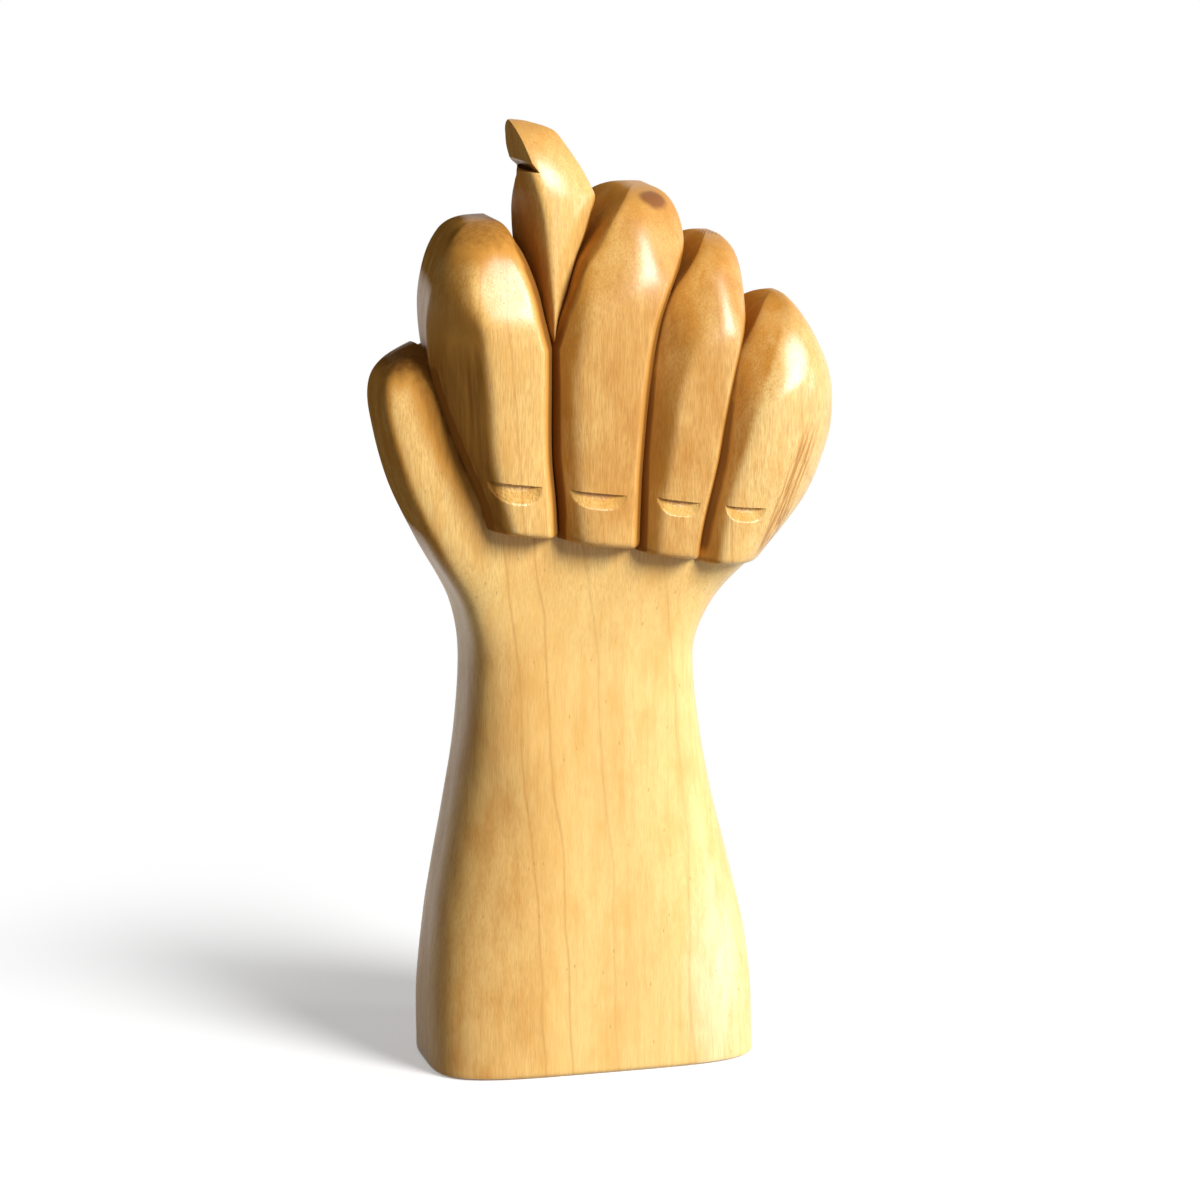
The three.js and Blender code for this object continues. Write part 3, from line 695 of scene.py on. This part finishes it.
class Wood(Nodes):
    """Pale wood with growth lines and upright fibres under a satin varnish, with places in mm."""

    def __init__(self, tree, colours):
        super().__init__(tree)
        self.colours = colours
        self.where = self.mapped(self.add("TexCoord").outputs["Object"], (1 / MM,) * 3)
        self.spots = self.add("SeparateXYZ", {0: self.where}).outputs
        normal = self.add("NewGeometry").outputs["Normal"]
        self.up = self.add("SeparateXYZ", {0: normal}).outputs["Z"]
        self.across = self.vector("DOT_PRODUCT", self.where, GRAIN_ACROSS)
        self.figure = self.grain(self.where, (0.11, 0.11, 0.022), 3)
        self.streaks = self.grain(self.where, (0.75, 0.75, 0.022), 3, 0.6)
        self.fibres = self.grain(self.where, (4.4, 4.4, 0.3), 3, 0.6)
        self.mottle = self.grain(self.where, (0.2, 0.2, 0.09), 3, 0.55)
        cells = {"Vector": self.mapped(self.where, (0.45, 0.45, 0.16)), "Scale": 1}
        pores = self.add("TexVoronoi", cells).outputs["Distance"]
        self.pores = self.remap(pores, 0.05, 0.09, 1, 0)
        streaked = self.remap(self.streaks, 0.3, 0.7, 0.75, 1.15)
        # Painted shade and dirt in and beside the carved lines, streaked
        self.shade_and_dirt = self.times(self.attribute("groove"), streaked)
        self.sapwood()
        self.growth()
        self.soaked_and_shaded()
        self.stains()
        self.rasped = self.rasp()
        self.varnish()

    def grain(self, where, scale, detail, rough=0.5):
        """Noise drawn out along the grain."""
        inputs = {"Vector": self.mapped(where, scale), "Scale": 1, "Detail": detail, "Roughness": rough}
        return self.add("TexNoise", inputs).outputs[0]

    def lay(self, share, colour):
        """Lays a share of a colour over the wood."""
        self.colour = self.tint(share, self.colour, colour)

    def near(self, spot, inner, outer, rough):
        """1 at a spot, fading to 0 between two distances with a rough edge."""
        away = self.vector("DISTANCE", self.where, spot)
        away = self.math("ADD", away, self.times(self.mottle, rough))
        return self.remap(away, inner, outer, 1, 0)

    def sapwood(self):
        """Honey wood in broad figures, paler on the little finger's side, with a painted highlight on the
        foot.
        """
        colours = self.colours
        figured = tuple(mix(a, b, 0.35) for a, b in zip(colours.honey, colours.amber))
        self.colour = self.tint(self.remap(self.figure, 0.35, 0.65), colours.honey, figured)
        # Paler towards the little finger's side, starting further in below the palm
        paler_right = self.remap(self.spots["X"], -8, 20, 0, 0.4)
        paler_right = self.times(paler_right, self.remap(self.spots["Z"], 106, 90))
        paler_right = self.math("MAXIMUM", paler_right, self.remap(self.spots["X"], 10, 36, 0, 0.65))
        self.lay(paler_right, colours.pale)
        # A painted highlight on the foot's right front
        foot = self.vector("MULTIPLY", self.where, FOOT_HIGHLIGHT_DRAWN, "Vector")
        foot = self.vector("DISTANCE", foot, FOOT_HIGHLIGHT)
        self.lay(self.remap(foot, 9, 1, 0, 0.75), colours.wear_and_highlight)

    def growth(self):
        """Streaks, fibres that are stronger on the fist, growth lines, pores and end grain."""
        colours = self.colours
        self.lay(self.remap(self.streaks, 0.46, 0.72, 0, 0.4), colours.amber)
        stronger = self.remap(self.spots["Z"], 96, 116, 0.26, 0.62)
        self.lay(self.times(self.remap(self.fibres, 0.4, 0.75), stronger), colours.line)
        self.lay(self.times(self.growth_lines(), 0.52), colours.line)
        self.lay(self.times(self.pores, 0.4), colours.groove)
        self.lay(self.remap(self.up, 0.5, 0.95, 0, 0.7), colours.end_grain)
        self.lay(self.remap(self.mottle, 0.5, 0.72, 0, 0.5), colours.amber)

    def growth_lines(self):
        """1 on each growth line, which wanders a little."""
        wander = self.grain(self.where, (0.035, 0.035, 0.03), 2)
        bent = self.math("ADD", self.across, self.times(wander, GROWTH_WANDER))
        low, high = GROWTH_SPAN
        shift = GROWTH_WANDER / 2
        ramp = self.add("ValToRGB", {0: self.remap(bent, low + shift, high + shift)})
        stops = ramp.color_ramp.elements
        for stop in stops:
            stop.color = (0, 0, 0, 1)
        for line in GROWTH_LINES:
            for aside, level in GROWTH_EDGE:
                stop = stops.new((line + aside - low) / (high - low))
                stop.color = (level, level, level, 1)
        return self.math("POWER", ramp.outputs[0], 1.6)

    def soaked_and_shaded(self):
        """Wood that took more varnish and, on the shaded sides, painted shade, both from the tone, with
        darker fibres and streaks, and the painted shade and dirt in the carved lines.
        """
        colours = self.colours
        cloudy = self.remap(self.mottle, 0.3, 0.7, 0.5, 1.3)
        soaked_and_shaded = self.math("MULTIPLY", self.attribute("tone"), cloudy, True)
        self.lay(soaked_and_shaded, colours.deep)
        self.lay(self.times(self.remap(self.fibres, 0.42, 0.72, 0, 0.5), soaked_and_shaded), colours.groove)
        self.lay(self.times(self.remap(self.streaks, 0.45, 0.7, 0, 0.3), soaked_and_shaded), colours.line)
        self.lay(self.remap(self.shade_and_dirt, 0.02, 0.35, 0, 0.8), colours.deep)
        self.lay(self.remap(self.shade_and_dirt, 0.38, 0.8), colours.groove)

    def stains(self):
        """A brown stain on the middle finger and stripes of open end grain on the ring finger."""
        self.lay(self.times(self.near(STAIN, 4.3, 5.8, 4), 0.95), self.colours.stain)
        stripes = self.remap(self.math("SINE", self.times(self.across, 7.5)), 0, 0.6)
        stripes = self.times(stripes, self.near(END_STRIPES, 3, 5, 2))
        self.lay(self.times(stripes, 0.85), self.colours.stain)

    def rasp(self):
        """Rasp strokes in a slanting strip on the little finger."""
        aside = self.math("SUBTRACT", self.vector("DOT_PRODUCT", self.where, RASP_ACROSS), RASP_MIDDLE)
        aside = self.math("ADD", self.math("ABSOLUTE", aside), self.mottle)
        strip = self.remap(aside, 2.3, 2.9, 1, 0)
        for axis, outside, within in (("Z", 137, 131), ("Z", 108, 111), ("Y", 0, -4)):
            strip = self.times(strip, self.remap(self.spots[axis], outside, within))
        slanted = self.mapped(self.where, rotation=(0, RASP_SLANT, 0))
        strokes = self.remap(self.grain(slanted, (1.9, 0.6, 0.07), 3, 0.7), 0.46, 0.54)
        strokes = self.times(strokes, strip)
        self.lay(self.times(strip, 0.4), self.colours.amber)
        self.lay(self.times(strokes, 0.8), self.colours.line)
        return strokes

    def varnish(self):
        """Satin varnish, which has sunk into the end grain, the sides and the grooves."""
        relief = self.math("ADD", self.fibres, self.times(self.pores, -0.6))
        relief = self.math("SUBTRACT", relief, self.times(self.rasped, 2.5))
        bump = self.add("Bump", {"Height": relief, "Strength": 0.4, "Distance": 0.00006}).outputs[0]
        kept = self.remap(self.attribute("dull"), 0, 1, 1, 0)
        kept = self.times(kept, self.remap(self.up, 0.45, 0.85, 1, 0.15))
        kept = self.times(kept, self.remap(self.shade_and_dirt, 0.1, 0.6, 1, 0.1))
        shader = self.add("BsdfPrincipled", {
            "Base Color": self.colour, "Normal": bump, "IOR": 1.5,
            "Roughness": self.remap(self.fibres, 0.3, 0.7, 0.27, 0.38),
            "Specular IOR Level": self.times(kept, 0.5),
            "Coat Weight": self.times(kept, 0.1), "Coat Roughness": 0.18})
        self.add("OutputMaterial", {0: shader.outputs[0]})


def varnished_wood():
    """The wood's material, made once."""
    material = bpy.data.materials.get("carved_sapwood")
    if not material:
        material = bpy.data.materials.new("carved_sapwood")
        material.use_nodes = True
        Wood(material.node_tree, bpy.context.scene.figa_colours)
    return material


# Where the wood is darkened by painted shade and dirt, amber and dull

def paint(piece, marks):
    """Writes the shares of painted shade and dirt, amber and lost gloss that marks(point in mm, normal)
    gives.
    """
    mesh = piece.data
    names = ("groove", "tone", "dull")
    for name in names:
        mesh.attributes.new(name, "FLOAT", "POINT")
    layers = [mesh.attributes[name].data for name in names]
    for vertex in mesh.vertices:
        for layer, share in zip(layers, marks(vertex.co / MM, vertex.normal)):
            layer[vertex.index].value = share


def digit_marks(digit, layout):
    """Painted shade with some dirt beside the carved lines and on the lower side, painted shade in the
    thumb's hollow, darker on the top, amber painted shade and dull on the side, and bare in the nail.
    """
    form = digit.form
    left_name, right_name = form["lines"]
    thin, wide, flank = form["shade_and_dirt"]
    front, side, top = form["tone"]
    side_dull, top_dull = form["dull"]
    hollow, hollow_size = Vector(THUMB_HOLLOW[0]), THUMB_HOLLOW[1]

    def closed(name, z):
        if name not in LINE_ENDS:
            return 0
        end = layout.wrist + LINE_ENDS[name]
        return ease(end, end - 5, z)

    def shade_and_dirt(x, y, z):
        # Painted shade with some dirt: a thin line beside the left line, and a wide band on the right wall,
        # where the next digit's shadow falls
        beside = ease(1.6 * thin, 0.5 * thin, x - digit.left(z)) * closed(left_name, z)
        if left_name == "middle_side":
            beside *= mix(1, 0.5, ease(layout.fork[1], layout.fork[1] + 8, z))
        beside = max(beside, ease(wide, 0.3 * wide, abs(digit.right(z) - x)) * closed(right_name, z))
        # Painted shade on the lower part of the side left of the ridge
        below = flank * ease(digit.start + 8, digit.start - 10, z) * ease(0, 1.5, digit.ridge(z) - x)
        # Darker towards the top, fading towards the back
        above = form["top_darkening"] * ease(digit.top - 9, digit.top - 2, z) * ease(6, -8, y)
        return max(beside, below, above) * ease(layout.wrist + 21, layout.wrist + 27, z)

    def marks(spot, normal):
        x, y, z = spot
        groove = shade_and_dirt(x, y, z)
        aside = ease(-0.3, 1, digit.ridge(z) - x)
        above = ease(digit.top - 13, digit.top - 3, z)
        # Left of the ridge the amber is painted shade
        tone = mix(front, side, aside)
        tone = mix(tone, max(tone, top), above)
        turned = ease(0.1, -0.4, normal.x) * ease(digit.top - 32, digit.top - 12, z)
        dull = max(side_dull * aside, top_dull * above, turned)
        # Painted shade fills the thumb's hollow
        if "nail" not in form:
            away = spot - hollow
            if normal.dot(away) < 0 and math.hypot(*(a / b for a, b in zip(away, hollow_size))) < 1.05:
                groove = 1
        elif z < form["nail"][0][1] + 1:
            depth = y - digit.surface(x, z).y
            gouged = ease(0.1, 0.3, depth) if depth < 1 else 0
            dull = max(dull, gouged)
            tone = mix(tone, 0.3, gouged)
        return groove, tone, dull

    return marks


def arm_marks(layout):
    """Painted shade with some dirt beside the index finger, the index finger's painted shadow on the mound,
    darker on the mound's crest, amber painted shade and dull on the thumb's side, and amber painted shade low
    on the forearm's left.
    """
    wrist = layout.wrist
    end = wrist + LINE_ENDS["mound_to_index"]

    def marks(spot, normal):
        x, y, z = spot
        past = x - layout.mound_to_index(z)
        in_front = ease(8, 2, y)
        # Painted shade with some dirt along the line beside the index finger
        line = ease(1, 0.3, abs(past)) * ease(end, end - 5, z) * ease(wrist + 28, wrist + 38, z) * in_front
        crest = ease(wrist + 56, wrist + 66, z) * ease(14, 4, y)
        # Painted shadow that the index finger casts on the mound, and darker on the crest
        near = max(ease(-8, -2, past) * ease(2, 0, past), crest)
        near *= ease(wrist + 20, wrist + 52, z) * in_front
        # Amber painted shade on the side facing the thumb's way, and low on the forearm's left
        side = ease(wrist + 10, wrist + 30, z) * ease(-0.3, -0.62, normal.x)
        low = ease(wrist + 16, wrist - 4, z) * ease(-8, -22, x)
        groove = max(line, 0.68 * near, 0.9 * crest)
        tone = max(0.95 * near, 0.8 * side, 0.5 * low)
        dull = max(near, side, 0.7 * ease(-0.3, -0.8, normal.x))
        return groove, tone, dull

    return marks


# Operators

class FIGA_OT_digits(Operator):
    """Carve the thumb and the four fingers, with their nails"""
    bl_idname = "figa.digits"
    bl_label = "Digits"

    def execute(self, context):
        layout = Layout()
        for number, name in enumerate(DIGITS):
            digit = Digit(name, layout)
            form = tube(*DIGIT_FINENESS)
            place(form, digit.point)
            close(form)
            waver(form, mm("tool_wave"), 10 * number)
            piece = finish_mesh(name.title(), form)
            if "nail" in digit.form:
                cut(piece, nail_cutter(digit))
            else:
                cut(piece, thumb_nail_cutter(), hollow_cutter())
            paint(piece, digit_marks(digit, layout))
            dress(piece, name)
        return {"FINISHED"}


class FIGA_OT_arm(Operator):
    """Carve the forearm, the palm and the mound below the thumb"""
    bl_idname = "figa.arm"
    bl_label = "Forearm and palm"

    def execute(self, context):
        layout = Layout()
        form = tube(*ARM_FINENESS)
        place(form, self.surface(layout))
        close(form)
        waver(form, mm("tool_wave") * 1.2, 77)
        piece = finish_mesh("Forearm_and_Palm", form)
        cut(piece, *[space_cutter(Digit(name, layout)) for name in DIGITS])
        paint(piece, arm_marks(layout))
        dress(piece, "forearm_and_palm")
        return {"FINISHED"}

    def surface(self, layout):
        """Gives the point of the surface at a share of the way up and round."""
        wrist, foot = layout.wrist, mm("foot_height")

        def run(foot_value, wrist_value, reach, column):
            points = [(wrist_value, wrist)]
            points += [(reach - section[column], wrist + section[0]) for section in FIST]
            fist = run_through(points, True)
            return lambda z: fist(z) if z > wrist else mix(foot_value, wrist_value, ease(foot, wrist, z))

        half_foot, deep_foot = mm("foot_width") / 2, mm("foot_depth") / 2
        half, deep = mm("wrist_width") / 2, mm("wrist_depth") / 2
        left = run(half_foot, half + WRIST_ASIDE, -layout.mound_left, 1)
        right = run(half_foot, half - WRIST_ASIDE, layout.little_right, 2)
        front = run(deep_foot, deep - WRIST_BACKWARD, mm("palm_front"), 3)
        back = run(deep_foot, deep + WRIST_BACKWARD, mm("fist_back"), 4)
        squares = [(WRIST_SQUARE, wrist)] + [(section[5], wrist + section[0]) for section in FIST]
        square_fist = run_through(squares, True)
        thumb_edge = run_through(list(THUMB_EDGE) + line_from((0, wrist), THUMB_EDGE_FIST))
        little_edge = run_through(list(LITTLE_EDGE) + [(LITTLE_EDGE_WRIST, wrist)])
        total = wrist + FIST[-1][0]

        def where(share, turn):
            height = total * share
            angle = 2 * math.pi * turn - math.pi
            across, towards = math.cos(angle), math.sin(angle)
            wide = left(height) if across < 0 else right(height)
            thick = front(height) if towards < 0 else back(height)
            square = mix(FOOT_SQUARE, WRIST_SQUARE, ease(0, wrist, height))
            if height > wrist:
                square = square_fist(height)
            if towards < 0:
                square = thumb_edge(height) if across < 0 else min(square, little_edge(height))
            # The base's worn edge
            near = max(1 - height / WORN_HEIGHT, 0)
            wear_and_highlight = WORN_DEPTH * (1 - math.sqrt(1 - near * near))
            x = math.copysign((wide - wear_and_highlight) * abs(across) ** (2 / square), across)
            y = math.copysign((thick - wear_and_highlight) * abs(towards) ** (2 / square), towards)
            return Vector((x, y, height))

        return where


class FIGA_OT_stage(Operator):
    """Set the pale floor, the soft light and the camera"""
    bl_idname = "figa.stage"
    bl_label = "Stage"

    def execute(self, context):
        scene = context.scene
        self.lay_floor(scene)
        self.light_world(scene)

        key = bpy.data.lights.new("Key", "SUN")
        key.energy = KEY_STRENGTH
        key.angle = KEY_SOFTNESS
        self.put(scene, "Key", key, (0, 0, 0), KEY_WAY)

        side = bpy.data.lights.new("Side", "AREA")
        side.shape = "RECTANGLE"
        side.size, side.size_y = SIDE_SIZE
        side.energy = SIDE_POWER
        self.put(scene, "Side", side, SIDE_PLACE, SIDE_AIM)

        lens = bpy.data.cameras.new("Camera")
        lens.lens = CAMERA_LENS
        lens.sensor_width = 36
        scene.camera = self.put(scene, "Camera", lens, CAMERA_PLACE, CAMERA_AIM)
        scene.view_settings.view_transform = "Standard"
        return {"FINISHED"}

    def put(self, scene, name, data, spot, aim):
        """Puts a lamp or the camera at a spot and turns it to where it aims."""
        item = bpy.data.objects.new(name, data)
        item.location = spot
        item.rotation_euler = (Vector(aim) - Vector(spot)).to_track_quat("-Z", "Y").to_euler()
        scene.collection.objects.link(item)
        return item

    def lay_floor(self, scene):
        form = bmesh.new()
        bmesh.ops.create_circle(form, cap_ends=True, segments=96, radius=FLOOR_RADIUS / MM)
        floor = finish_mesh("Floor", form)
        floor.data.materials.append(self.floor_finish(scene.figa_colours.floor))

    def floor_finish(self, colour):
        """Matte and near white where it is seen, with the shadow, and plain white further off."""
        material = bpy.data.materials.new("pale_floor")
        material.use_nodes = True
        nodes = Nodes(material.node_tree)
        where = nodes.add("TexCoord").outputs["Object"]
        cloud = nodes.add("TexNoise", {"Vector": where, "Scale": 3.0}).outputs[0]
        pale = nodes.tint(nodes.remap(cloud, 0.3, 0.7, 0, 0.02), colour, (1, 1, 1, 1))
        matte = nodes.add("BsdfDiffuse", {"Color": pale}).outputs[0]
        glow = nodes.add("Emission", {"Strength": 0.37}).outputs[0]
        lifted = nodes.add("AddShader", {0: matte, 1: glow}).outputs[0]
        white = nodes.add("Emission").outputs[0]
        away = nodes.vector("LENGTH", where)
        fade = {0: away, 1: FLOOR_FADE[0], 2: FLOOR_FADE[1]}
        fade = nodes.add("MapRange", fade, interpolation_type="SMOOTHSTEP").outputs[0]
        shown = nodes.add("MixShader", {0: fade, 1: lifted, 2: white}).outputs[0]
        bounce = nodes.add("BsdfDiffuse", {"Color": (0.3, 0.29, 0.28, 1)}).outputs[0]
        shader = nodes.add("MixShader", {0: nodes.seen(), 1: bounce, 2: shown}).outputs[0]
        nodes.add("OutputMaterial", {0: shader})
        return material

    def light_world(self, scene):
        """White where it is seen, and a dim even light elsewhere."""
        scene.world = bpy.data.worlds.new("Studio")
        scene.world.use_nodes = True
        nodes = Nodes(scene.world.node_tree)
        strength = nodes.remap(nodes.seen(), 0, 1, WORLD_LIGHT, 1)
        light = nodes.add("Background", {"Color": (1, 1, 1, 1), "Strength": strength})
        nodes.add("OutputWorld", {0: light.outputs[0]})


class FIGA_PT_panel(Panel):
    """The carving's steps, sizes and colours"""
    bl_idname = "FIGA_PT_panel"
    bl_label = "Figa Carving"
    bl_space_type = "VIEW_3D"
    bl_region_type = "UI"
    bl_category = "Carving"

    def draw(self, context):
        for operator in OPERATORS:
            self.layout.operator(operator.bl_idname)
        for group in (context.scene.figa_sizes, context.scene.figa_colours):
            column = self.layout.column(align=True)
            for name in group.__annotations__:
                column.prop(group, name)


OPERATORS = (FIGA_OT_arm, FIGA_OT_digits, FIGA_OT_stage)
CLASSES = (FigaSizes, WoodColours) + OPERATORS + (FIGA_PT_panel,)


def register():
    for item in CLASSES:
        bpy.utils.register_class(item)
    bpy.types.Scene.figa_sizes = PointerProperty(type=FigaSizes)
    bpy.types.Scene.figa_colours = PointerProperty(type=WoodColours)


def unregister():
    del bpy.types.Scene.figa_colours
    del bpy.types.Scene.figa_sizes
    for item in reversed(CLASSES):
        bpy.utils.unregister_class(item)


def main():
    register()
    bpy.ops.figa.arm()
    bpy.ops.figa.digits()
    bpy.ops.figa.stage()


if __name__ == "__main__":
    main()
